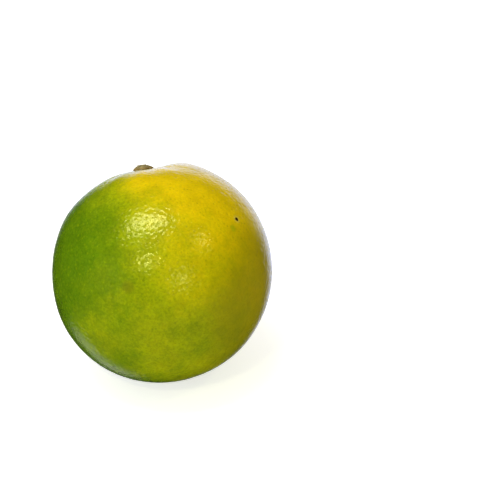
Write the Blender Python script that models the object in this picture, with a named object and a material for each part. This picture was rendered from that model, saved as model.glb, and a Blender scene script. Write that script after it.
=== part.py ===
"""A whole sweet orange, as picked: the fruit, its dried calyx and the stub of its stalk.

Metres, +Z up. The origin is the middle of the small flat spot that the fruit lies on.
Each piece is modelled in the fruit's own frame, whose +Z runs up the core from the blossom end
to the stem end. An empty at the fruit's middle leans that frame over into the resting pose.
"""

import math
import random
from typing import NamedTuple

import bmesh
import bpy
from mathutils import Matrix, Vector, noise

# The fruit: driving dimensions.
EQUATOR_RADIUS = 0.0360
CORE_HALF_HEIGHT = 0.0363
SPOT_RADIUS = 0.0065

# How the fruit lies: its core leans back from upright, and to its left.
LEAN_BACK = math.radians(26.0)
LEAN_LEFT = math.radians(10.6)

# Both ends are flattened. A spread is the angle at which the dip is down to 61%. The stem end's
# dip is a little off the core, which leaves the shoulder on the +X side of the calyx higher.
STEM_DIP = 0.00185
STEM_DIP_SPREAD = math.radians(11.5)
STEM_DIP_WAY = Vector((math.sin(math.radians(3.5)), 0.0, math.cos(math.radians(3.5))))
BLOSSOM_DIP = 0.0004
BLOSSOM_DIP_SPREAD = math.radians(20.0)
STYLE_SCAR_DEPTH = 0.0004
STYLE_SCAR_SPREAD = math.radians(1.8)

# The fruit is a little longer one way than the other, and gently lumpy.
LONG_WAY = Vector((0.896, 0.0, 0.443)).normalized()
LONG_WAY_EXTRA = 0.0007
LUMP_HEIGHT = 0.0003
LUMPS_PER_RADIUS = 1.7


class Swelling(NamedTuple):
    """A local rise of the skin, or a flatter place where its height is below zero."""

    way: Vector
    height: float
    spread: float


# The uneven shoulders and flanks that the photo's outline shows.
SWELLINGS = (
    Swelling(Vector((-0.736, 0.037, 0.676)), 0.00055, math.radians(10.0)),
    Swelling(Vector((-0.266, 0.062, 0.961)), -0.00028, math.radians(7.0)),
    Swelling(Vector((-0.993, -0.005, 0.115)), -0.00030, math.radians(10.0)),
    Swelling(Vector((0.368, 0.068, 0.927)), 0.00085, math.radians(7.5)),
    Swelling(Vector((0.805, 0.051, 0.592)), 0.00042, math.radians(12.0)),
)

# Shallow furrows run out over the shoulder from the calyx, one over each wall between segments.
FURROWS = 10
FURROW_DEPTH = 0.00022
FURROW_FROM_STEM = math.radians(19.0)
FURROW_SPREAD = math.radians(7.0)

# The oil glands pit the whole skin. These pits are fewer and larger than the real ones.
PITS = 1900
PIT_DEPTH = 0.00026
PIT_DEPTH_VARIES = 0.6
PIT_JITTER = 0.014
PIT_SEED = 11
GOLDEN_ANGLE = math.pi * (3.0 - math.sqrt(5.0))

# The flat spot's rim. Skin nearer to it than BARE_RIM, in spot radii from its middle, has no pits.
SPOT_STEPS = 36
HALVINGS = 30
BARE_RIM = 1.25
PITTED_RIM = 1.55
ON_SPOT = -1.0

# Pits fade out towards the calyx, by calyx radii, and towards the style's scar, by metres.
BARE_BY_CALYX = 1.2
PITTED_BY_CALYX = 2.2
BARE_BY_SCAR = 0.0012
PITTED_BY_SCAR = 0.0035

# The calyx is a low ring of five blunt lobes, and the stalk's stub stands in the middle of it.
CALYX_RADIUS = 0.0031
CALYX_HOLE_RADIUS = 0.00165
CALYX_HEIGHT = 0.0011
CALYX_EDGE_HEIGHT = 0.0005
LOBES = 5
LOBE_REACH = 0.14
STUB_RADIUS = 0.00135
STUB_FOOT_RADIUS = 0.0015
STUB_HEIGHT = 0.0014
STUB_DISH_DEPTH = 0.0003
SEAT_GAP = 0.0003
ROUND_STEPS = 60

# Colours and roughnesses.
PEEL_GREEN = (0.36, 0.38, 0.02)
PEEL_ROUGHNESS = 0.36
CALYX_BROWN = (0.19, 0.14, 0.055)
CALYX_ROUGHNESS = 0.75
STALK_TAN = (0.24, 0.17, 0.085)
STALK_ROUGHNESS = 0.8

MIDDLE = Vector((0.0, 0.0, 0.0))
UP_THE_CORE = Vector((0.0, 0.0, 1.0))
LEAN = (Matrix.Rotation(-LEAN_BACK, 4, "X") @ Matrix.Rotation(-LEAN_LEFT, 4, "Y")).to_3x3()
DOWN = LEAN.inverted() @ Vector((0.0, 0.0, -1.0))
WALK_STEPS = (0.05, 0.02, 0.008, 0.003, 0.001)
WALK_TRIES = 6


def clear_scene():
    for obj in list(bpy.data.objects):
        bpy.data.objects.remove(obj)


def bell(angle, spread):
    """1 at angle 0, falling smoothly to nothing over a few spreads."""
    return math.exp(-0.5 * (angle / spread) ** 2)


def smooth_step(low, high, value):
    """0 up to low, 1 from high on, and smooth between them."""
    share = min(1.0, max(0.0, (value - low) / (high - low)))
    return share * share * (3.0 - 2.0 * share)


def rind_radius(way):
    """From the fruit's middle to its unpitted skin, along the unit vector way."""
    across, along = math.hypot(way.x, way.y), way.z
    radius = 1.0 / math.hypot(across / EQUATOR_RADIUS, along / CORE_HALF_HEIGHT)
    from_stem = math.acos(max(-1.0, min(1.0, along)))
    from_blossom = math.pi - from_stem
    radius -= STEM_DIP * bell(way.angle(STEM_DIP_WAY), STEM_DIP_SPREAD)
    radius -= BLOSSOM_DIP * bell(from_blossom, BLOSSOM_DIP_SPREAD)
    radius -= STYLE_SCAR_DEPTH * bell(from_blossom, STYLE_SCAR_SPREAD)
    radius += LONG_WAY_EXTRA * (way.dot(LONG_WAY) ** 2 - 0.5)
    radius += LUMP_HEIGHT * noise.noise(way * LUMPS_PER_RADIUS)
    for swelling in SWELLINGS:
        radius += swelling.height * bell(way.angle(swelling.way), swelling.spread)
    furrow = 0.5 + 0.5 * math.cos(FURROWS * math.atan2(way.y, way.x))
    return radius - FURROW_DEPTH * furrow * bell(from_stem - FURROW_FROM_STEM, FURROW_SPREAD)


def lowest_point():
    """The unpressed skin's lowest point in the resting pose, found by walking downhill."""
    way = DOWN.copy()
    side = way.orthogonal().normalized()
    other = way.cross(side)
    for step in WALK_STEPS:
        for _ in range(WALK_TRIES):
            tries = [way + step * (side * x + other * y) for x in (-1, 0, 1) for y in (-1, 0, 1)]
            way = max((aim.normalized() for aim in tries), key=depth_below)
    return way * rind_radius(way)


def depth_below(way):
    """How far the unpressed skin reaches below the fruit's middle, along this unit vector."""
    return rind_radius(way) * way.dot(DOWN)


LOWEST = lowest_point()
PRESSED_BY = SPOT_RADIUS**2 / (2.0 * EQUATOR_RADIUS)
SPOT_CENTRE = LOWEST - DOWN * PRESSED_BY
SPOT_DEPTH = SPOT_CENTRE.dot(DOWN)


def spot_rim():
    """Unit vectors to where the resting plane cuts the skin, all round the lowest point."""
    straight = LOWEST.normalized()
    side = straight.orthogonal().normalized()
    other = straight.cross(side)
    for i in range(SPOT_STEPS):
        turn = math.tau * i / SPOT_STEPS
        heading = side * math.cos(turn) + other * math.sin(turn)
        inside, outside = 0.0, 2.0 * SPOT_RADIUS / EQUATOR_RADIUS
        for _ in range(HALVINGS):
            middle = 0.5 * (inside + outside)
            way = (straight + heading * middle).normalized()
            inside, outside = (middle, outside) if depth_below(way) > SPOT_DEPTH else (inside, middle)
        yield way


def from_spot(way):
    """Distance over the skin from the lowest point, near enough, as a share of the spot's radius."""
    return (way * rind_radius(way) - LOWEST).length / SPOT_RADIUS


def even_ways(count):
    """Unit vectors spread evenly by the golden angle, each nudged a little at random."""
    draw = random.Random(PIT_SEED)
    for i in range(count):
        height = 1.0 - (2 * i + 1) / count
        ring = math.sqrt(1.0 - height * height)
        turn = i * GOLDEN_ANGLE
        nudge = Vector(draw.gauss(0.0, PIT_JITTER) for _ in range(3))
        yield (Vector((ring * math.cos(turn), ring * math.sin(turn), height)) + nudge).normalized()


def pit_share(way):
    """How deep pits are there: none under the calyx, on the style's scar or round the flat spot."""
    point = way * rind_radius(way)
    by_calyx = math.hypot(point.x, point.y) / CALYX_RADIUS
    by_scar = (point + UP_THE_CORE * CORE_HALF_HEIGHT).length
    off_calyx = smooth_step(BARE_BY_CALYX, PITTED_BY_CALYX, by_calyx)
    off_scar = smooth_step(BARE_BY_SCAR, PITTED_BY_SCAR, by_scar)
    off_end = off_calyx if way.z > 0.0 else off_scar
    return off_end * smooth_step(BARE_RIM, PITTED_RIM, from_spot(way))


def net_of_pits():
    """A ball of flat facets: each pit is the middle of a small hollow, with its rim around it.

    The flat spot has no pits. Its rim is a ring of vertices, and flat facets fill it.
    """
    bm = bmesh.new()
    depth = bm.verts.layers.float.new("pit_depth")
    draw = random.Random(PIT_SEED)
    for way in even_ways(PITS):
        pit_depth = PIT_DEPTH * (1.0 + PIT_DEPTH_VARIES * draw.uniform(-1.0, 1.0))
        if from_spot(way) > BARE_RIM:
            bm.verts.new(way)[depth] = pit_depth
    for way in spot_rim():
        bm.verts.new(way)[depth] = ON_SPOT
    bmesh.ops.convex_hull(bm, input=bm.verts)
    skin = [face for face in bm.faces if any(vert[depth] != ON_SPOT for vert in face.verts)]
    for rim in bmesh.ops.poke(bm, faces=skin)["verts"]:
        rim.co.normalize()
        rim[depth] = 0.0
    bmesh.ops.delete(bm, geom=bm.faces, context="FACES_ONLY")
    bmesh.ops.delete(bm, geom=bm.edges, context="EDGES_FACES")
    bmesh.ops.convex_hull(bm, input=bm.verts)
    return bm, depth


def object_from(bm, name, material, under, smooth=False):
    """Puts the finished mesh in the scene as one named object in the fruit's own frame."""
    bmesh.ops.recalc_face_normals(bm, faces=bm.faces)
    mesh = bpy.data.meshes.new(name)
    bm.to_mesh(mesh)
    bm.free()
    mesh.materials.append(material)
    if smooth:
        mesh.shade_smooth()
    obj = bpy.data.objects.new(name, mesh)
    bpy.context.scene.collection.objects.link(obj)
    obj.parent = under
    return obj


def make_fruit(under):
    bm, depth = net_of_pits()
    for vert in bm.verts:
        way = vert.co.normalized()
        if vert[depth] == ON_SPOT:
            vert.co = way * (SPOT_DEPTH / way.dot(DOWN))
        else:
            vert.co = way * (rind_radius(way) - vert[depth] * pit_share(way))
    peel = make_material("green_and_yellow_peel", PEEL_GREEN, PEEL_ROUGHNESS)
    return object_from(bm, "fruit", peel, under, smooth=True)


def seat_height(x, y):
    """Height of the skin over the fruit's middle, at this distance from the core's line."""
    way = Vector((x, y, CORE_HALF_HEIGHT - STEM_DIP)).normalized()
    return rind_radius(way) * way.z


def turned(profile):
    """The solid that a closed profile of (radius, height) sweeps round the core's line."""
    bm = bmesh.new()
    verts = [bm.verts.new((radius, 0.0, height)) for radius, height in profile]
    pairs = zip(verts, verts[1:] + verts[:1])
    edges = [bm.edges.new(pair) for pair in pairs if max(vert.co.x for vert in pair) > 0.0]
    bmesh.ops.spin(
        bm,
        geom=verts + edges,
        cent=MIDDLE,
        axis=UP_THE_CORE,
        angle=math.tau,
        steps=ROUND_STEPS,
        use_merge=True,
    )
    bmesh.ops.remove_doubles(bm, verts=bm.verts, dist=1e-6)
    return bm


def seat(bm):
    """Stands a turned solid on the skin, which its underside follows across a small gap."""
    for vert in bm.verts:
        vert.co.z += seat_height(vert.co.x, vert.co.y) + SEAT_GAP


def make_calyx(under):
    middle_radius = 0.5 * (CALYX_HOLE_RADIUS + CALYX_RADIUS)
    bm = turned(
        [
            (CALYX_HOLE_RADIUS, 0.0),
            (middle_radius, 0.0),
            (CALYX_RADIUS, 0.0),
            (CALYX_RADIUS, CALYX_EDGE_HEIGHT),
            (middle_radius, 0.9 * CALYX_HEIGHT),
            (CALYX_HOLE_RADIUS, CALYX_HEIGHT),
        ]
    )
    for vert in bm.verts:
        radius = math.hypot(vert.co.x, vert.co.y)
        share = (radius - CALYX_HOLE_RADIUS) / (CALYX_RADIUS - CALYX_HOLE_RADIUS)
        lobe = math.cos(LOBES * math.atan2(vert.co.y, vert.co.x))
        stretch = 1.0 + LOBE_REACH * lobe * share
        vert.co.x *= stretch
        vert.co.y *= stretch
    seat(bm)
    dried = make_material("dried_calyx", CALYX_BROWN, CALYX_ROUGHNESS)
    return object_from(bm, "calyx", dried, under)


def make_stalk_stub(under):
    bm = turned(
        [
            (0.0, 0.0),
            (STUB_FOOT_RADIUS, 0.0),
            (STUB_FOOT_RADIUS, 0.25 * STUB_HEIGHT),
            (STUB_RADIUS, 0.6 * STUB_HEIGHT),
            (STUB_RADIUS, 0.9 * STUB_HEIGHT),
            (0.8 * STUB_RADIUS, STUB_HEIGHT),
            (0.0, STUB_HEIGHT - STUB_DISH_DEPTH),
        ]
    )
    seat(bm)
    wood = make_material("stalk_wood", STALK_TAN, STALK_ROUGHNESS)
    return object_from(bm, "stalk_stub", wood, under)


def make_material(name, colour, roughness):
    material = bpy.data.materials.new(name)
    material.use_nodes = True
    shader = material.node_tree.nodes["Principled BSDF"]
    shader.inputs["Base Color"].default_value = (*colour, 1.0)
    shader.inputs["Roughness"].default_value = roughness
    shader.inputs["Metallic"].default_value = 0.0
    return material


def make_fruit_axis():
    """The empty at the fruit's middle that leans the core and lifts the spot to the origin."""
    axis = bpy.data.objects.new("fruit_axis", None)
    bpy.context.scene.collection.objects.link(axis)
    axis.matrix_world = Matrix.Translation(-(LEAN @ SPOT_CENTRE)) @ LEAN.to_4x4()
    return axis


def main():
    clear_scene()
    axis = make_fruit_axis()
    make_fruit(axis)
    make_calyx(axis)
    make_stalk_stub(axis)


main()
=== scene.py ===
"""The looks of a whole sweet orange: pitted, half-ripe rind, dried calyx and the stub of its stalk.

Metres, +Z up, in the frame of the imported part. The rind, the calyx and the stub are modelled in
the fruit's own frame, whose +Z runs up the core to the stem end, and are then leaned over into
the resting pose. Shapes follow the same formulas and sizes as the part's source.
"""

import math
import random
from typing import NamedTuple

import bmesh
import bpy
from mathutils import Matrix, Vector, kdtree, noise


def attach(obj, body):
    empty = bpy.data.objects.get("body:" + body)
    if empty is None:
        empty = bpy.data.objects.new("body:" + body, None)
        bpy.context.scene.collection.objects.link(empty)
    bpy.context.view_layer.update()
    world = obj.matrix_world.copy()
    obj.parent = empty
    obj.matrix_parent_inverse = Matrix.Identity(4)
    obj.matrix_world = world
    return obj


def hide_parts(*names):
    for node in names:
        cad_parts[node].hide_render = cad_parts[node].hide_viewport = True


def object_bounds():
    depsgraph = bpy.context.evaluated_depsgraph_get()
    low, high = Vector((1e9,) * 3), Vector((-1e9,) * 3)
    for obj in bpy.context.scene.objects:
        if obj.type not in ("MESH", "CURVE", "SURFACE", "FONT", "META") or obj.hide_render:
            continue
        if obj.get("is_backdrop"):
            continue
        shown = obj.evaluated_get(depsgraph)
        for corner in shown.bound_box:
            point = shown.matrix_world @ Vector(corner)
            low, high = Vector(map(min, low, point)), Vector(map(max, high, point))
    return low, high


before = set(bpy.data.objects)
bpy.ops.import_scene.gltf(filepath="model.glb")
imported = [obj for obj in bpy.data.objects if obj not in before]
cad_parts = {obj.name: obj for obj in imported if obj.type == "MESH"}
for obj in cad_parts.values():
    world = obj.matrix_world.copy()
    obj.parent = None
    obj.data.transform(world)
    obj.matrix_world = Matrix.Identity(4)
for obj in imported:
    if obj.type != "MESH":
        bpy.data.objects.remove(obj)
CAD_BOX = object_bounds()

# The fruit: the part's driving dimensions, repeated.
EQUATOR_RADIUS = 0.0360
CORE_HALF_HEIGHT = 0.0363
SPOT_RADIUS = 0.0065
LEAN_BACK = math.radians(26.0)
LEAN_LEFT = math.radians(10.6)
STEM_DIP = 0.00185
STEM_DIP_SPREAD = math.radians(11.5)
STEM_DIP_WAY = Vector((math.sin(math.radians(3.5)), 0.0, math.cos(math.radians(3.5))))
BLOSSOM_DIP = 0.0004
BLOSSOM_DIP_SPREAD = math.radians(20.0)
STYLE_SCAR_DEPTH = 0.0004
STYLE_SCAR_SPREAD = math.radians(1.8)
LONG_WAY = Vector((0.896, 0.0, 0.443)).normalized()
LONG_WAY_EXTRA = 0.0007
LUMP_HEIGHT = 0.0003
LUMPS_PER_RADIUS = 1.7


class Swelling(NamedTuple):
    """A local rise of the skin, or a flatter place where its height is below zero."""

    way: Vector
    height: float
    spread: float


# Where the skin stands fuller or flatter, in the fruit's own frame.
SWELLINGS = (
    Swelling(Vector((-0.736, 0.037, 0.676)), 0.00055, math.radians(10.0)),
    Swelling(Vector((-0.266, 0.062, 0.961)), -0.00028, math.radians(7.0)),
    Swelling(Vector((-0.993, -0.005, 0.115)), -0.00030, math.radians(10.0)),
    Swelling(Vector((0.368, 0.068, 0.927)), 0.00085, math.radians(7.5)),
    Swelling(Vector((0.805, 0.051, 0.592)), 0.00042, math.radians(12.0)),
)

FURROWS = 10
FURROW_DEPTH = 0.00022
FURROW_FROM_STEM = math.radians(19.0)
FURROW_SPREAD = math.radians(7.0)

# How far the shown skin lies inside the solid's, so that it stays within its box.
SKIN_INSET = 0.00003

# Oil glands: one pore over each, at the real spacing of about 1.4 mm.
PORES = 8250
PORE_SEED = 4
PORE_JITTER = 0.0075
PORE_DEPTH = 0.000105
PORE_DEPTH_VARIES = 0.5
PORE_WIDTH = 0.00030
PORE_WIDTH_VARIES = 0.25
PORES_FELT = 3
PORES_SHALLOWER_AT_STEM = 0.7
STEM_SMOOTH_SPREAD = math.radians(7.0)
SCAR_SMOOTH_SPREAD = math.radians(2.5)
GOLDEN_ANGLE = math.pi * (3.0 - math.sqrt(5.0))

# Swellings between the glands, two sizes of them, as height in metres and number over a radius.
SWELL_HEIGHT = 0.000045
SWELLS_PER_RADIUS = 9.0
RIPPLE_HEIGHT = 0.000040
RIPPLES_PER_RADIUS = 22.0

# The calyx, with its profile, its lobes, and the noise that makes it uneven and puckered.
CALYX_RADIUS = 0.0031
CALYX_HOLE_RADIUS = 0.00165
CALYX_HEIGHT = 0.0013
CALYX_EDGE_HEIGHT = 0.00028
CALYX_SLOPE = 1.35
CALYX_OVERHANG = 1.02
CALYX_POINTS = 14
CALYX_STEPS = 180
EDGE_ROUND_FROM = 0.9
EDGE_ROUND_OVER = 0.13
EDGE_THICKNESS = 0.35
LOBES = 5
LOBE_REACH = 0.14
LOBE_RISE = 0.00008
LOBE_BLUNTNESS = 1.3
UNEVEN_REACH = 0.08
UNEVEN_PER_TURN = 1.6
UNEVEN_SLICE = 3.0
PUCKER_HEIGHT = 0.00010
PUCKERS_ROUND = 5.0
PUCKERS_PER_METRE = 900.0
PORES_START = 1.5

# The stub of the stalk, with its flared foot, its dished end and its rough bark.
STUB_RADIUS = 0.00145
STUB_HEIGHT = 0.00148
STUB_FLARE = 0.06
STUB_POINTS = 12
STUB_STEPS = 96
DISH_DEPTH = 0.00028
RIM_RISE = 0.00010
RIM_FROM = 0.8
RIM_OVER = 0.2
BARK_ROUGHNESS = 0.07
BARK_RIBS_ROUND = 4.0
BARK_RIBS_PER_METRE = 300.0
TORN_HEIGHT = 0.00006
TORN_PER_METRE = 2600.0
TORN_FROM_MIDDLE = 0.0004
SEAT_GAP = 0.00001
MERGE_DISTANCE = 1e-6

# The camera, at the photograph's angle and framing.
IMAGE_PIXELS = 500.0
FRUIT_CENTRE_X_PIXELS = 162.4
FRUIT_CENTRE_Y_PIXELS = 272.8
FRUIT_RADIUS_PIXELS = 110.1
CAMERA_ELEVATION = math.radians(30.0)
CAMERA_DISTANCE = 0.60
SENSOR_MM = 36.0

MIDDLE = Vector((0.0, 0.0, 0.0))
UP_THE_CORE = Vector((0.0, 0.0, 1.0))
LEAN = (Matrix.Rotation(-LEAN_BACK, 4, "X") @ Matrix.Rotation(-LEAN_LEFT, 4, "Y")).to_3x3()
DOWN = LEAN.inverted() @ Vector((0.0, 0.0, -1.0))
WALK_STEPS = (0.05, 0.02, 0.008, 0.003, 0.001)
WALK_TRIES = 6

VIEW_RIGHT = Vector((1.0, 0.0, 0.0))
VIEW_UP = Vector((0.0, math.sin(CAMERA_ELEVATION), math.cos(CAMERA_ELEVATION)))
VIEW_BACK = Vector((0.0, -math.cos(CAMERA_ELEVATION), math.sin(CAMERA_ELEVATION)))


# The fruit's form

def bell(angle, spread):
    """1 at angle 0, falling smoothly to nothing over a few spreads."""
    return math.exp(-0.5 * (angle / spread) ** 2)


def smooth_step(low, high, value):
    """0 up to low, 1 from high on, and smooth between them."""
    share = min(1.0, max(0.0, (value - low) / (high - low)))
    return share * share * (3.0 - 2.0 * share)


def angle_of(cosine):
    """The angle with this cosine, which rounding may have put just past 1 or -1."""
    return math.acos(max(-1.0, min(1.0, cosine)))


def rind_radius(way):
    """From the fruit's middle to its unpitted skin, along the unit vector way."""
    across, along = math.hypot(way.x, way.y), way.z
    radius = 1.0 / math.hypot(across / EQUATOR_RADIUS, along / CORE_HALF_HEIGHT)
    from_stem = angle_of(along)
    from_blossom = math.pi - from_stem
    radius -= STEM_DIP * bell(way.angle(STEM_DIP_WAY), STEM_DIP_SPREAD)
    radius -= BLOSSOM_DIP * bell(from_blossom, BLOSSOM_DIP_SPREAD)
    radius -= STYLE_SCAR_DEPTH * bell(from_blossom, STYLE_SCAR_SPREAD)
    radius += LONG_WAY_EXTRA * (way.dot(LONG_WAY) ** 2 - 0.5)
    radius += LUMP_HEIGHT * noise.noise(way * LUMPS_PER_RADIUS)
    for swelling in SWELLINGS:
        radius += swelling.height * bell(way.angle(swelling.way), swelling.spread)
    furrow = 0.5 + 0.5 * math.cos(FURROWS * math.atan2(way.y, way.x))
    return radius - FURROW_DEPTH * furrow * bell(from_stem - FURROW_FROM_STEM, FURROW_SPREAD)


def depth_below(way):
    """How far the unpressed skin reaches below the fruit's middle, along this unit vector."""
    return rind_radius(way) * way.dot(DOWN)


def lowest_point():
    """The unpressed skin's lowest point in the resting pose, found by walking downhill."""
    way = DOWN.copy()
    side = way.orthogonal().normalized()
    other = way.cross(side)
    for step in WALK_STEPS:
        for _ in range(WALK_TRIES):
            tries = [way + step * (side * x + other * y) for x in (-1, 0, 1) for y in (-1, 0, 1)]
            way = max((aim.normalized() for aim in tries), key=depth_below)
    return way * rind_radius(way)


PRESSED_BY = SPOT_RADIUS**2 / (2.0 * EQUATOR_RADIUS)
FRUIT_MIDDLE = -(LEAN @ (lowest_point() - DOWN * PRESSED_BY))


def rest(bm):
    """Leans a finished piece over from the fruit's own frame into the resting pose."""
    bmesh.ops.transform(bm, matrix=Matrix.Translation(FRUIT_MIDDLE) @ LEAN.to_4x4(), verts=bm.verts)


def piece_from(bm, name, material, node):
    """Puts a finished mesh in the scene as the piece that stands for a node of the part."""
    bmesh.ops.recalc_face_normals(bm, faces=bm.faces)
    mesh = bpy.data.meshes.new(name)
    bm.to_mesh(mesh)
    bm.free()
    mesh.shade_smooth()
    mesh.materials.append(material)
    piece = bpy.data.objects.new(name, mesh)
    bpy.context.scene.collection.objects.link(piece)
    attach(piece, "root")
    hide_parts(node)
    return piece


# The rind

def even_ways(count):
    """Unit vectors spread evenly by the golden angle, each nudged a little at random."""
    draw = random.Random(PORE_SEED)
    for i in range(count):
        height = 1.0 - (2 * i + 1) / count
        ring = math.sqrt(1.0 - height * height)
        turn = i * GOLDEN_ANGLE
        nudge = Vector(draw.gauss(0.0, PORE_JITTER) for _ in range(3))
        yield (Vector((ring * math.cos(turn), ring * math.sin(turn), height)) + nudge).normalized()


class Pores:
    """The pores over the oil glands, with a depth, a width and a tone of its own for each."""

    def __init__(self):
        draw = random.Random(PORE_SEED)
        self.tree = kdtree.KDTree(PORES)
        self.depths, self.widths, self.tones = [], [], []
        for i, way in enumerate(even_ways(PORES)):
            self.tree.insert(way * EQUATOR_RADIUS, i)
            self.depths.append(PORE_DEPTH * (1.0 + PORE_DEPTH_VARIES * draw.uniform(-1.0, 1.0)))
            self.widths.append(PORE_WIDTH * (1.0 + PORE_WIDTH_VARIES * draw.uniform(-1.0, 1.0)))
            self.tones.append(draw.random())
        self.tree.balance()

    def at(self, way):
        """(how deep the skin is pitted, how near a pore is from 0 to 1, that pore's tone)."""
        pit, near, tone = 0.0, 0.0, 0.0
        for _, i, distance in self.tree.find_n(way * EQUATOR_RADIUS, PORES_FELT):
            share = bell(distance, self.widths[i])
            pit += self.depths[i] * share
            if share > near:
                near, tone = share, self.tones[i]
        return pit, near, tone


def net_of_pores():
    """A ball whose facets follow the pores: each pore is a vertex, with a ring of them round it."""
    bm = bmesh.new()
    for way in even_ways(PORES):
        bm.verts.new(way)
    bmesh.ops.convex_hull(bm, input=bm.verts)
    bmesh.ops.delete(bm, geom=[vert for vert in bm.verts if not vert.link_faces], context="VERTS")
    between_pores = list(bm.edges)
    for ridge in bmesh.ops.poke(bm, faces=bm.faces)["verts"]:
        ridge.co.normalize()
    bmesh.ops.rotate_edges(bm, edges=between_pores)
    bmesh.ops.subdivide_edges(bm, edges=bm.edges, cuts=1, use_grid_fill=True)
    return bm


def off_calyx(way):
    """0 under the calyx, where the rind is smooth for it to sit on, and 1 from a little outside it."""
    beside_core = math.hypot(way.x, way.y) * EQUATOR_RADIUS
    return smooth_step(CALYX_RADIUS, PORES_START * CALYX_RADIUS, beside_core)


def pore_share(way):
    """How deep pores are there: shallow round the calyx and where the style fell off."""
    off_stem = 1.0 - PORES_SHALLOWER_AT_STEM * bell(angle_of(way.z), STEM_SMOOTH_SPREAD)
    off_scar = 1.0 - bell(angle_of(-way.z), SCAR_SMOOTH_SPREAD)
    return off_stem * off_scar


def swell(way, per_radius):
    """Smooth noise of about 0 to 1, at that many swells over a radius."""
    return 0.5 + 0.5 * noise.noise(way * per_radius)


def make_rind(material):
    """The rind: a pore over each gland, low swells between them, and a flat spot to rest on."""
    bm = net_of_pores()
    near_layer = bm.verts.layers.float.new("pore")
    tone_layer = bm.verts.layers.float.new("pore_tone")
    pores = Pores()
    for vert in bm.verts:
        way = vert.co.normalized()
        pit, near, tone = pores.at(way)
        relief = pit * pore_share(way)
        relief += SWELL_HEIGHT * swell(way, SWELLS_PER_RADIUS)
        relief += RIPPLE_HEIGHT * swell(way, RIPPLES_PER_RADIUS)
        vert.co = way * (rind_radius(way) - SKIN_INSET - relief * off_calyx(way))
        vert[near_layer] = near
        vert[tone_layer] = tone
    rest(bm)
    for vert in bm.verts:
        vert.co.z = max(vert.co.z, 0.0)
    return piece_from(bm, "rind", material, "fruit")


# The calyx and the stub

def seat_height(x, y):
    """Height of the skin over the fruit's middle, at this place beside the core's line."""
    way = Vector((x, y, CORE_HALF_HEIGHT - STEM_DIP)).normalized()
    return rind_radius(way) * way.z


def seat(bm):
    """Sets a dried piece down on the skin round the core, and leans it over with the fruit."""
    for vert in bm.verts:
        vert.co.z += seat_height(vert.co.x, vert.co.y) + SEAT_GAP
    rest(bm)


def turned(profile, steps):
    """The solid that a profile of (radius, height), closed at the core's line or on itself, sweeps."""
    bm = bmesh.new()
    verts = [bm.verts.new((radius, 0.0, height)) for radius, height in profile]
    pairs = zip(verts, verts[1:] + verts[:1])
    edges = [bm.edges.new(pair) for pair in pairs if max(vert.co.x for vert in pair) > 0.0]
    bmesh.ops.spin(
        bm,
        geom=verts + edges,
        cent=MIDDLE,
        axis=UP_THE_CORE,
        angle=math.tau,
        steps=steps,
        use_merge=True,
    )
    bmesh.ops.remove_doubles(bm, verts=bm.verts, dist=MERGE_DISTANCE)
    return bm


def calyx_profile():
    """Out along the underside and back over the top, which rises towards the stub."""
    width = CALYX_RADIUS - CALYX_HOLE_RADIUS
    under = [(CALYX_HOLE_RADIUS + width * i / CALYX_POINTS, 0.0) for i in range(CALYX_POINTS + 1)]
    over = []
    for i in range(CALYX_POINTS + 1):
        share = 1.0 - i / CALYX_POINTS
        dome = CALYX_EDGE_HEIGHT + (CALYX_HEIGHT - CALYX_EDGE_HEIGHT) * (1.0 - share**CALYX_SLOPE)
        past = max(0.0, (share - EDGE_ROUND_FROM) / EDGE_ROUND_OVER)
        edge = math.sqrt(max(0.0, 1.0 - past**2))
        thickness = EDGE_THICKNESS + (1.0 - EDGE_THICKNESS) * edge
        over.append((CALYX_HOLE_RADIUS + width * (share * CALYX_OVERHANG), dome * thickness))
    return under + over


def make_calyx(material):
    """Five blunt sepals, dried down on the rind round the stalk, puckered and uneven."""
    bm = turned(calyx_profile(), CALYX_STEPS)
    edge_layer = bm.verts.layers.float.new("toward_edge")
    for vert in bm.verts:
        radius = math.hypot(vert.co.x, vert.co.y)
        turn = math.atan2(vert.co.y, vert.co.x)
        ahead, aside = math.cos(turn), math.sin(turn)
        share = max(0.0, (radius - CALYX_HOLE_RADIUS) / (CALYX_RADIUS - CALYX_HOLE_RADIUS))
        lobe = abs(math.cos(0.5 * LOBES * turn)) ** LOBE_BLUNTNESS * 2.0 - 1.0
        uneven = UNEVEN_REACH * noise.noise(Vector((ahead, aside, UNEVEN_SLICE)) * UNEVEN_PER_TURN)
        stretch = 1.0 + (LOBE_REACH * lobe + uneven) * share
        where = Vector((ahead * PUCKERS_ROUND, aside * PUCKERS_ROUND, radius * PUCKERS_PER_METRE))
        lift = vert.co.z / CALYX_HEIGHT
        vert[edge_layer] = share
        vert.co.z += lift * (PUCKER_HEIGHT * noise.noise(where) + LOBE_RISE * lobe * (1.0 - share))
        vert.co.x *= stretch
        vert.co.y *= stretch
    seat(bm)
    return piece_from(bm, "dried_sepals", material, "calyx")


def stub_profile():
    """Up the flared bark and in over the broken end, which is dished inside a raised rim."""
    profile = [(0.0, 0.0)]
    for i in range(STUB_POINTS):
        flare = 1.0 + STUB_FLARE - STUB_FLARE * i / STUB_POINTS
        profile.append((STUB_RADIUS * flare, STUB_HEIGHT * i / STUB_POINTS))
    for i in range(STUB_POINTS + 1):
        share = 1.0 - i / STUB_POINTS
        rim = RIM_RISE * max(0.0, share - RIM_FROM) / RIM_OVER
        dish = DISH_DEPTH * (1.0 - share**2) - rim
        profile.append((STUB_RADIUS * share, STUB_HEIGHT - dish))
    return profile


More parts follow.
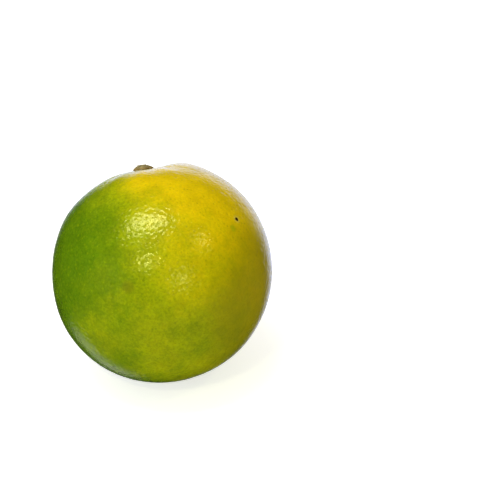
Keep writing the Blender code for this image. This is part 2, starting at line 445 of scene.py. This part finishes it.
def make_stub(material):
    """The stalk's stub: rough bark, and a broken end of torn fibres."""
    bm = turned(stub_profile(), STUB_STEPS)
    for vert in bm.verts:
        radius = math.hypot(vert.co.x, vert.co.y)
        turn = math.atan2(vert.co.y, vert.co.x)
        ahead, aside = math.cos(turn) * BARK_RIBS_ROUND, math.sin(turn) * BARK_RIBS_ROUND
        rib = noise.noise(Vector((ahead, aside, vert.co.z * BARK_RIBS_PER_METRE)))
        torn = noise.noise(Vector((vert.co.x, vert.co.y, 0.0)) * TORN_PER_METRE)
        grow = 1.0 + BARK_ROUGHNESS * rib
        vert.co.x *= grow
        vert.co.y *= grow
        off_middle = smooth_step(0.0, TORN_FROM_MIDDLE, radius)
        vert.co.z += (vert.co.z / STUB_HEIGHT) * TORN_HEIGHT * torn * off_middle
    seat(bm)
    return piece_from(bm, "stalk_scar", material, "stalk_stub")


# Shader building blocks

class Nodes:
    """Adds nodes to one node tree, and joins their sockets as they are made."""

    def __init__(self, tree):
        self.tree = tree

    def add(self, kind, *sources, **settings):
        """A node of that kind. Each source is a socket or a value for the next input."""
        node = self.tree.nodes.new(kind)
        for name, value in settings.items():
            setattr(node, name, value)
        for place, source in enumerate(sources):
            self.feed(node, place, source)
        return node

    def feed(self, node, place, source):
        """Links a socket to the node's input there, or sets a plain value on it."""
        if isinstance(source, bpy.types.NodeSocket):
            self.tree.links.new(source, node.inputs[place])
        else:
            node.inputs[place].default_value = source

    def math(self, operation, *sources):
        return self.add("ShaderNodeMath", *sources, operation=operation).outputs[0]

    def vector(self, operation, *sources):
        node = self.add("ShaderNodeVectorMath", *sources, operation=operation)
        return node.outputs["Value" if operation == "DOT_PRODUCT" else "Vector"]

    def noise(self, where, scale, detail=3.0, roughness=0.55):
        node = self.add("ShaderNodeTexNoise")
        for name, value in (("Vector", where), ("Scale", scale), ("Detail", detail)):
            self.feed(node, name, value)
        node.inputs["Roughness"].default_value = roughness
        return node.outputs["Fac"]

    def span(self, value, low, high, to_low=0.0, to_high=1.0):
        """Maps low to high smoothly onto to_low to to_high, and holds it there outside."""
        node = self.add("ShaderNodeMapRange", interpolation_type="SMOOTHSTEP")
        for place, source in enumerate((value, low, high, to_low, to_high)):
            self.feed(node, place, source)
        return node.outputs[0]

    def mix(self, share, one, other, blend="MIX"):
        node = self.add("ShaderNodeMix", data_type="RGBA", blend_type=blend)
        self.feed(node, "Factor", share)
        self.feed(node, 6, one)
        self.feed(node, 7, other)
        return node.outputs[2]

    def tint(self, share, colour, plain_colour, blend="MIX"):
        """Blends one plain colour into a colour that changes over the surface."""
        return self.mix(share, colour, (*plain_colour, 1.0), blend)

    def ramp(self, value, stops):
        node = self.add("ShaderNodeValToRGB", value)
        elements = node.color_ramp.elements
        while len(elements) < len(stops):
            elements.new(1.0)
        for element, (place, colour) in zip(elements, stops):
            element.position = place
            element.color = (*colour, 1.0)
        return node.outputs["Color"]

    def attribute(self, name):
        return self.add("ShaderNodeAttribute", attribute_name=name).outputs["Fac"]

    def here(self):
        return self.add("ShaderNodeTexCoord").outputs["Object"]

    def bump(self, shader, height, strength, distance):
        """Gives the shader a bump with this height over the surface."""
        node = self.add("ShaderNodeBump")
        node.inputs["Strength"].default_value = strength
        node.inputs["Distance"].default_value = distance
        self.feed(node, "Height", height)
        self.feed(shader, "Normal", node.outputs["Normal"])


def new_material(name):
    material = bpy.data.materials.new(name)
    material.use_nodes = True
    return material, Nodes(material.node_tree), material.node_tree.nodes["Principled BSDF"]


# The rind's colour

FOREST_GREEN = (0.088, 0.180, 0.0008)
DEEP_GREEN = (0.112, 0.222, 0.0008)
GRASS_GREEN = (0.185, 0.282, 0.0008)
YELLOW_GREEN = (0.360, 0.410, 0.0008)
OLIVE_YELLOW = (0.530, 0.480, 0.0008)
AMBER = (0.770, 0.560, 0.0008)
LEAST_RIPE = -0.45
RIPENING = (
    (LEAST_RIPE, FOREST_GREEN),
    (0.0, DEEP_GREEN),
    (0.25, GRASS_GREEN),
    (0.5, YELLOW_GREEN),
    (0.75, OLIVE_YELLOW),
    (1.0, AMBER),
)
MOTTLING = ((55.0, 0.32), (170.0, 0.28), (520.0, 0.25), (1150.0, 0.15))

# Glands: where their own tone and the nearness to their pore let each colour show.
PALE_GLAND = (0.52, 0.62, 0.004)
PALE_TONES = (0.30, 1.0)
PALE_GLAND_EDGE = (0.20, 0.90)
PALE_GLANDS_SHOW = 0.20
PALE_GLANDS_FADE_OVER = (0.2, 0.9)
DARK_GLAND = (0.06, 0.12, 0.001)
DARK_TONES = (0.5, 0.0)
DARK_GLAND_EDGE = (0.3, 1.0)
DARK_GLANDS_SHOW = 0.35

# Flecks, fewer in yellow skin than in green, and larger soft clouds.
FLECK_SHADE = (0.55, 0.60, 0.40)
FLECK_SCALE = 1300.0
FLECK_DETAIL = 2.0
FLECK_ROUGHNESS = 0.7
FLECK_EDGE = (0.36, 0.64)
FLECKS_IN_GREEN = 0.52
FLECKS_IN_YELLOW = 0.22
FLECKS_CHANGE_OVER = (0.5, 1.0)
CLOUD_SHADE = (0.52, 0.56, 0.40)
CLOUD_SCALE = 150.0
CLOUD_DETAIL = 4.0
CLOUD_EDGE = (0.30, 0.70)
CLOUD_DEPTH = 0.34

# The gloss of the waxy skin, which varies a little, and its fine grain.
GLOSSIEST = 0.13
GLOSS_VARIES = 0.10
GLOSS_SCALE = 240.0
GRAIN_SCALE = 1300.0
GRAIN_DETAIL = 2.0
GRAIN_STRENGTH = 0.8
GRAIN_HEIGHT = 0.00009
WAXY_SKIN = {
    "IOR": 1.47,
    "Specular Tint": (1.0, 0.98, 0.50, 1.0),
    "Coat Weight": 0.12,
    "Coat Roughness": 0.15,
    "Coat IOR": 1.45,
    "Subsurface Weight": 0.12,
    "Subsurface Radius": (1.0, 0.8, 0.15),
    "Subsurface Scale": 0.0012,
}

# The colour of the painted shade on the right flank, then the colours of marks on the skin.
PAINTED_SHADE_OLIVE = (0.190, 0.185, 0.001)
SPECK_BROWN = (0.030, 0.018, 0.003)
HALO_TAN = (0.60, 0.50, 0.10)
BRUISE_OLIVE = (0.170, 0.160, 0.004)
FRESH_GREEN = (0.22, 0.36, 0.003)
RUSSET = (0.36, 0.25, 0.050)

# Ripeness at the fruit's middle, and how it grows to the right and upwards.
RIPE_BASE = 0.50
RIPE_TO_RIGHT = 0.55
RIPE_UP = 0.35


class Patch(NamedTuple):
    """A soft-edged patch, placed as shares of the fruit's radius right of and above its middle."""

    right: float
    up: float
    half_width: float
    soften: float
    ripeness: float
    side: int = 1


PATCHES = {
    "green left shoulder": Patch(-0.70, 0.46, 8.0, 30.0, -0.26),
    "yellowing left of the calyx": Patch(-0.36, 0.80, 5.0, 20.0, 0.17),
    "yellowing middle": Patch(0.10, -0.08, 4.0, 24.0, 0.10),
    "green through the middle": Patch(-0.20, 0.12, 2.0, 17.0, -0.05),
    "amber beside the calyx": Patch(0.16, 0.84, 8.0, 24.0, 0.16),
    "yellowing low middle": Patch(-0.32, -0.64, 6.0, 30.0, 0.23),
    "yellowing low left": Patch(-0.66, -0.52, 4.0, 20.0, 0.12),
    "olive under the front": Patch(0.15, -0.92, 4.0, 26.0, 0.16),
}


class Mark(NamedTuple):
    """A round mark on the skin, or painted shade, placed as a patch is, with how much of its colour
    shows.
    """

    right: float
    up: float
    half_width: float
    soften: float
    colour: tuple
    strength: float
    side: int = 1


MARKS = {
    # Painted shade: the right flank darkened towards olive, as though something beside the fruit shaded
    # it.
    "painted shade on the right flank": Mark(0.90, -0.22, 20.0, 28.0, PAINTED_SHADE_OLIVE, 0.56),
    "bruise left of the middle": Mark(-0.248, -0.111, 0.6, 3.6, BRUISE_OLIVE, 0.50),
    "last green by the speck": Mark(0.650, 0.398, 0.4, 2.0, FRESH_GREEN, 0.45),
    "halo round the speck": Mark(0.680, 0.478, 1.5, 1.0, HALO_TAN, 0.45),
    "speck": Mark(0.680, 0.478, 0.70, 0.65, SPECK_BROWN, 1.0),
    "rubbed place behind": Mark(0.30, 0.20, 1.0, 9.0, RUSSET, 0.32, side=-1),
    "small rub behind": Mark(0.12, 0.34, 0.5, 3.0, RUSSET, 0.45, side=-1),
    "speck behind": Mark(-0.35, 0.42, 0.5, 0.6, SPECK_BROWN, 0.85, side=-1),
    "bruise low behind": Mark(-0.15, -0.30, 1.0, 5.0, BRUISE_OLIVE, 0.40, side=-1),
    "speck on the left": Mark(-0.80, 0.10, 0.45, 0.6, SPECK_BROWN, 0.75, side=-1),
}


def seen_at(right, up, side=1):
    """Unit vector to the skin seen there from the camera, or with side -1 to the skin behind it."""
    back = side * math.sqrt(max(0.0, 1.0 - right * right - up * up))
    return (VIEW_RIGHT * right + VIEW_UP * up + VIEW_BACK * back).normalized()


def spot_mask(nodes, way, centre, spot):
    """1 within the spot's half width in degrees, falling to 0 over the degrees it softens by."""
    nearness = nodes.vector("DOT_PRODUCT", way, centre)
    edge = math.cos(math.radians(spot.half_width + spot.soften))
    core = math.cos(math.radians(spot.half_width))
    return nodes.span(nearness, edge, core)


def skin_mask(nodes, way, spot):
    """The mask of a patch or mark, round its place on the skin."""
    return spot_mask(nodes, way, seen_at(spot.right, spot.up, spot.side), spot)


def ripeness(nodes, way, here):
    """From least ripe, through 0, deep green, to 1, amber: a slant, soft patches and mottling."""
    slant = VIEW_RIGHT * RIPE_TO_RIGHT + VIEW_UP * RIPE_UP
    total = nodes.math("ADD", nodes.vector("DOT_PRODUCT", way, slant), RIPE_BASE)
    for patch in PATCHES.values():
        total = nodes.math("MULTIPLY_ADD", skin_mask(nodes, way, patch), patch.ripeness, total)
    for scale, depth in MOTTLING:
        cloud = nodes.math("SUBTRACT", nodes.noise(here, scale), 0.5)
        total = nodes.math("MULTIPLY_ADD", cloud, depth, total)
    return total


def ripening_colour(nodes, ripe):
    """The colour that the rind has at each ripeness."""
    reach = 1.0 - LEAST_RIPE
    share = nodes.math("MULTIPLY_ADD", ripe, 1.0 / reach, -LEAST_RIPE / reach)
    return nodes.ramp(share, [((place - LEAST_RIPE) / reach, colour) for place, colour in RIPENING])


def with_glands(nodes, colour, ripe):
    """Pale glands, which fade as the skin ripens, and dark ones, as each pore's tone says."""
    pore, tone = nodes.attribute("pore"), nodes.attribute("pore_tone")
    pale = nodes.math("MULTIPLY", nodes.span(tone, *PALE_TONES), nodes.span(pore, *PALE_GLAND_EDGE))
    show = nodes.span(ripe, *PALE_GLANDS_FADE_OVER, PALE_GLANDS_SHOW, 0.0)
    colour = nodes.tint(nodes.math("MULTIPLY", pale, show), colour, PALE_GLAND)
    dark = nodes.math("MULTIPLY", nodes.span(tone, *DARK_TONES), nodes.span(pore, *DARK_GLAND_EDGE))
    return nodes.tint(nodes.math("MULTIPLY", dark, DARK_GLANDS_SHOW), colour, DARK_GLAND)


def with_flecks(nodes, colour, ripe, here):
    """Fine darker flecks, which fade as the skin turns yellow."""
    fleck = nodes.span(nodes.noise(here, FLECK_SCALE, FLECK_DETAIL, FLECK_ROUGHNESS), *FLECK_EDGE)
    depth = nodes.span(ripe, *FLECKS_CHANGE_OVER, FLECKS_IN_GREEN, FLECKS_IN_YELLOW)
    return nodes.tint(nodes.math("MULTIPLY", fleck, depth), colour, FLECK_SHADE, blend="MULTIPLY")


def with_clouds(nodes, colour, here):
    """Soft darker clouds, several glands across."""
    cloud = nodes.span(nodes.noise(here, CLOUD_SCALE, CLOUD_DETAIL), *CLOUD_EDGE)
    return nodes.tint(nodes.math("MULTIPLY", cloud, CLOUD_DEPTH), colour, CLOUD_SHADE, blend="MULTIPLY")


def with_marks(nodes, colour, way):
    """Painted shade on the right flank, then bruises, rubs and specks, each laid over those before it."""
    for mark in MARKS.values():
        share = nodes.math("MULTIPLY", skin_mask(nodes, way, mark), mark.strength)
        colour = nodes.tint(share, colour, mark.colour)
    return colour


def make_peel_material():
    """Half-ripe peel: its colour from ripeness down to specks, then its gloss and grain."""
    material, nodes, shader = new_material("half_ripe_peel")
    here = nodes.here()
    way = nodes.vector("NORMALIZE", nodes.vector("SUBTRACT", here, FRUIT_MIDDLE))
    ripe = ripeness(nodes, way, here)
    colour = with_glands(nodes, ripening_colour(nodes, ripe), ripe)
    colour = with_flecks(nodes, colour, ripe, here)
    colour = with_clouds(nodes, colour, here)
    nodes.feed(shader, "Base Color", with_marks(nodes, colour, way))

    rough = nodes.math("MULTIPLY_ADD", nodes.noise(here, GLOSS_SCALE), GLOSS_VARIES, GLOSSIEST)
    nodes.feed(shader, "Roughness", rough)
    nodes.bump(shader, nodes.noise(here, GRAIN_SCALE, GRAIN_DETAIL), GRAIN_STRENGTH, GRAIN_HEIGHT)
    for name, value in WAXY_SKIN.items():
        shader.inputs[name].default_value = value
    return material


# The dried pieces

DRY_EDGE_BROWN = (0.26, 0.155, 0.050)
SEPAL_DARK = (0.120, 0.092, 0.042)
SEPAL_PALE = (0.370, 0.300, 0.140)
STALK_DARK = (0.115, 0.085, 0.042)
STALK_PALE = (0.370, 0.300, 0.170)
SEPAL_ROUGHNESS = 0.75
STALK_ROUGHNESS = 0.8
DRY_EDGE = (0.45, 1.0)
DRY_EDGE_SHOWS = 0.6
DRY_BUMP_STRENGTH = 0.6
DRY_BUMP_HEIGHT = 0.00012

# Fibre: its scale on each piece, and how fine noise joins coarse noise in it.
SEPAL_FIBRES = 900.0
STALK_FIBRES = 1400.0
FINE_TO_COARSE = 3.3
COARSE_SHARE = 0.6
FINE_SHARE = 0.4
STREAK_EDGE = (0.36, 0.64)


def fibre_group():
    """Dry plant fibre: a mask of pale and dark streaks, and a height for a bump."""
    group = bpy.data.node_groups.new("dry_fibre", "ShaderNodeTree")
    socket = group.interface.new_socket
    socket(name="Vector", in_out="INPUT", socket_type="NodeSocketVector")
    socket(name="Scale", in_out="INPUT", socket_type="NodeSocketFloat")
    socket(name="Streaks", in_out="OUTPUT", socket_type="NodeSocketFloat")
    socket(name="Height", in_out="OUTPUT", socket_type="NodeSocketFloat")
    nodes = Nodes(group)
    given = nodes.add("NodeGroupInput").outputs
    coarse = nodes.noise(given["Vector"], given["Scale"], detail=4.0, roughness=0.65)
    fine_scale = nodes.math("MULTIPLY", given["Scale"], FINE_TO_COARSE)
    fine = nodes.noise(given["Vector"], fine_scale, detail=3.0, roughness=0.6)
    coarse_part = nodes.math("MULTIPLY", coarse, COARSE_SHARE)
    mixed = nodes.math("ADD", coarse_part, nodes.math("MULTIPLY", fine, FINE_SHARE))
    result = nodes.add("NodeGroupOutput")
    nodes.feed(result, "Streaks", nodes.span(mixed, *STREAK_EDGE))
    nodes.feed(result, "Height", mixed)
    return group


def make_dry_material(name, fibres, scale, dark, pale, roughness):
    """Streaks of dry fibre from dark to pale, browner towards a sepal's outer edge."""
    material, nodes, shader = new_material(name)
    fibre = nodes.add("ShaderNodeGroup", node_tree=fibres)
    nodes.feed(fibre, "Vector", nodes.here())
    nodes.feed(fibre, "Scale", scale)
    colour = nodes.ramp(fibre.outputs["Streaks"], ((0.0, dark), (1.0, pale)))
    edge = nodes.span(nodes.attribute("toward_edge"), *DRY_EDGE)
    colour = nodes.tint(nodes.math("MULTIPLY", edge, DRY_EDGE_SHOWS), colour, DRY_EDGE_BROWN)
    nodes.feed(shader, "Base Color", colour)
    nodes.bump(shader, fibre.outputs["Height"], DRY_BUMP_STRENGTH, DRY_BUMP_HEIGHT)
    shader.inputs["Roughness"].default_value = roughness
    return material


# The studio

FLOOR_WHITE = (0.86, 0.865, 0.94)
FLOOR_GLOW = 0.66
FLOOR_BOUNCE = 0.19
FLOOR_ROUGHNESS = 0.6
FLOOR_HALF_WIDTH = 4.0
FLOOR_BELOW = 0.00002
AMBIENT = 0.412
AMBIENT_SLANT = Vector((-0.88, 0.0, 0.18))
ROOM_REFLECTED = 0.008
PLAIN_LIGHT = (1.0, 1.0, 1.0)
WARM_LIGHT = (1.0, 0.98, 0.62)
LAMP_LIGHT = (1.0, 0.95, 0.42)
ROOM_WHITE = (1.0, 0.98, 0.95)
WALL_WHITE = (0.86, 0.95, 1.30)


class Glow(NamedTuple):
    """A soft pale area of the room, placed by where on the fruit its reflection shows."""

    right: float
    up: float
    half_width: float
    soften: float
    strength: float
    colour: tuple = ROOM_WHITE


REFLECTED_GLOWS = {
    "pale wall behind": Glow(0.44, 0.885, 16.0, 18.0, 1.28, WALL_WHITE),
    "bench behind on the left": Glow(-0.68, -0.60, 3.0, 9.0, 0.80),
    "bench end": Glow(-0.46, -0.82, 2.0, 9.0, 0.80),
}


class Lamp(NamedTuple):
    """A soft oval lamp, placed by where on the fruit its glint shows."""

    right: float
    up: float
    distance: float
    size: tuple
    watts: float
    colour: tuple


LAMPS = {
    "overhead": Lamp(-0.108, 0.420, 0.55, (0.34, 0.145), 1.52, WARM_LIGHT),
    "front_strip": Lamp(-0.095, 0.115, 0.70, (0.08, 0.02), 0.62, LAMP_LIGHT),
    "right_window": Lamp(0.180, -0.040, 0.70, (0.05, 0.13), 0.30, LAMP_LIGHT),
    "far_lamp": Lamp(0.335, 0.285, 0.70, (0.08, 0.02), 0.25, LAMP_LIGHT),
}
FILL_WAY = Vector((-0.8, -0.55, 0.25))
FILL_DISTANCE = 0.90
FILL_SIZE = (0.7, 0.5)
FILL_WATTS = 1.6


def make_floor():
    """A pale sweep, glowing a little to the camera as a lit table does. Glossy rays pass through it."""
    material, nodes, shader = new_material("pale_sweep")
    shader.inputs["Base Color"].default_value = (*FLOOR_WHITE, 1.0)
    shader.inputs["Roughness"].default_value = FLOOR_ROUGHNESS
    shader.inputs["Emission Color"].default_value = (*PLAIN_LIGHT, 1.0)
    seen = nodes.add("ShaderNodeLightPath").outputs["Is Camera Ray"]
    glow = nodes.math("MULTIPLY_ADD", seen, FLOOR_GLOW - FLOOR_BOUNCE, FLOOR_BOUNCE)
    nodes.feed(shader, "Emission Strength", glow)
    bm = bmesh.new()
    bmesh.ops.create_grid(bm, x_segments=1, y_segments=1, size=FLOOR_HALF_WIDTH)
    mesh = bpy.data.meshes.new("floor")
    bm.to_mesh(mesh)
    bm.free()
    mesh.materials.append(material)
    floor = bpy.data.objects.new("floor", mesh)
    floor.location.z = -FLOOR_BELOW
    floor.visible_glossy = False
    bpy.context.scene.collection.objects.link(floor)
    floor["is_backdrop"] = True


def facing_from(towards):
    """The turn of a lamp that faces the fruit from there, with its width along the view's right."""
    across = (VIEW_RIGHT - towards * towards.dot(VIEW_RIGHT)).normalized()
    return Matrix((across, towards.cross(across), towards)).transposed().to_euler()


def make_softbox(name, towards, distance, size, watts, colour):
    """An oval soft light, at that distance from the fruit along a direction, facing it."""
    data = bpy.data.lights.new(name, "AREA")
    data.shape = "ELLIPSE"
    data.size, data.size_y = size
    data.energy = watts
    data.color = colour
    lamp = bpy.data.objects.new(name, data)
    towards = towards.normalized()
    lamp.location = FRUIT_MIDDLE + towards * distance
    lamp.rotation_euler = facing_from(towards)
    lamp.visible_camera = False
    bpy.context.scene.collection.objects.link(lamp)
    return lamp


def glint_from(right, up):
    """Where a light has to be for its glint to show at that place on the fruit."""
    normal = seen_at(right, up)
    return normal * (2.0 * normal.dot(VIEW_BACK)) - VIEW_BACK


def make_lights():
    """The lamps that show as glints, and a fill from the left that shows in no reflection."""
    for name, lamp in LAMPS.items():
        towards = glint_from(lamp.right, lamp.up)
        make_softbox(name, towards, lamp.distance, lamp.size, lamp.watts, lamp.colour)
    fill = make_softbox("left_fill", FILL_WAY, FILL_DISTANCE, FILL_SIZE, FILL_WATTS, PLAIN_LIGHT)
    fill.visible_glossy = False


def reflected_room(nodes, towards, glossy):
    """Strength and colour of what reflections show: a dark room with a few soft pale areas."""
    strength, colour = ROOM_REFLECTED, (*ROOM_WHITE, 1.0)
    for glow in REFLECTED_GLOWS.values():
        mask = spot_mask(nodes, towards, glint_from(glow.right, glow.up), glow)
        strength = nodes.math("MULTIPLY_ADD", mask, glow.strength, strength)
        colour = nodes.tint(nodes.math("MULTIPLY", mask, glossy), colour, glow.colour)
    return strength, colour


def make_world():
    """Light from all round, more from the left, with its own room in reflections and a white backdrop."""
    world = bpy.data.worlds.new("studio")
    world.use_nodes = True
    background = world.node_tree.nodes["Background"]
    nodes = Nodes(world.node_tree)
    towards = nodes.add("ShaderNodeTexCoord").outputs["Generated"]
    rays = nodes.add("ShaderNodeLightPath").outputs
    glossy = rays["Is Glossy Ray"]
    reflected, colour = reflected_room(nodes, towards, glossy)
    slanted = nodes.vector("DOT_PRODUCT", towards, AMBIENT_SLANT)
    even = nodes.math("MULTIPLY", nodes.math("ADD", slanted, 1.0), AMBIENT)
    plain = nodes.math("MULTIPLY", nodes.math("SUBTRACT", 1.0, glossy), even)
    lit = nodes.math("MULTIPLY_ADD", glossy, reflected, plain)
    nodes.feed(background, "Strength", nodes.math("MAXIMUM", lit, rays["Is Camera Ray"]))
    nodes.feed(background, "Color", colour)
    bpy.context.scene.world = world


def make_camera():
    """Looks down at the fruit, which fills the same part of the frame as in the photograph."""
    width = IMAGE_PIXELS * EQUATOR_RADIUS / FRUIT_RADIUS_PIXELS
    right = (0.5 - FRUIT_CENTRE_X_PIXELS / IMAGE_PIXELS) * width
    up = (FRUIT_CENTRE_Y_PIXELS / IMAGE_PIXELS - 0.5) * width
    data = bpy.data.cameras.new("camera")
    data.sensor_width = SENSOR_MM
    data.lens = SENSOR_MM * CAMERA_DISTANCE / width
    camera = bpy.data.objects.new("camera", data)
    camera.location = FRUIT_MIDDLE + VIEW_BACK * CAMERA_DISTANCE + VIEW_RIGHT * right + VIEW_UP * up
    camera.rotation_euler = (0.5 * math.pi - CAMERA_ELEVATION, 0.0, 0.0)
    bpy.context.scene.collection.objects.link(camera)
    bpy.context.scene.camera = camera


def write_sizes():
    """Both boxes as plain lists: the part's own, and that of what is shown."""
    boxes = {"cad": CAD_BOX, "visual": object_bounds()}
    {name: [list(corner) for corner in box] for name, box in boxes.items()}


bpy.context.scene.view_settings.view_transform = "Standard"
make_rind(make_peel_material())
dry_fibre = fibre_group()
sepal = make_dry_material("dried_sepal", dry_fibre, SEPAL_FIBRES, SEPAL_DARK, SEPAL_PALE, SEPAL_ROUGHNESS)
stalk = make_dry_material("torn_stalk", dry_fibre, STALK_FIBRES, STALK_DARK, STALK_PALE, STALK_ROUGHNESS)
make_calyx(sepal)
make_stub(stalk)
make_floor()
make_lights()
make_world()
make_camera()
write_sizes()
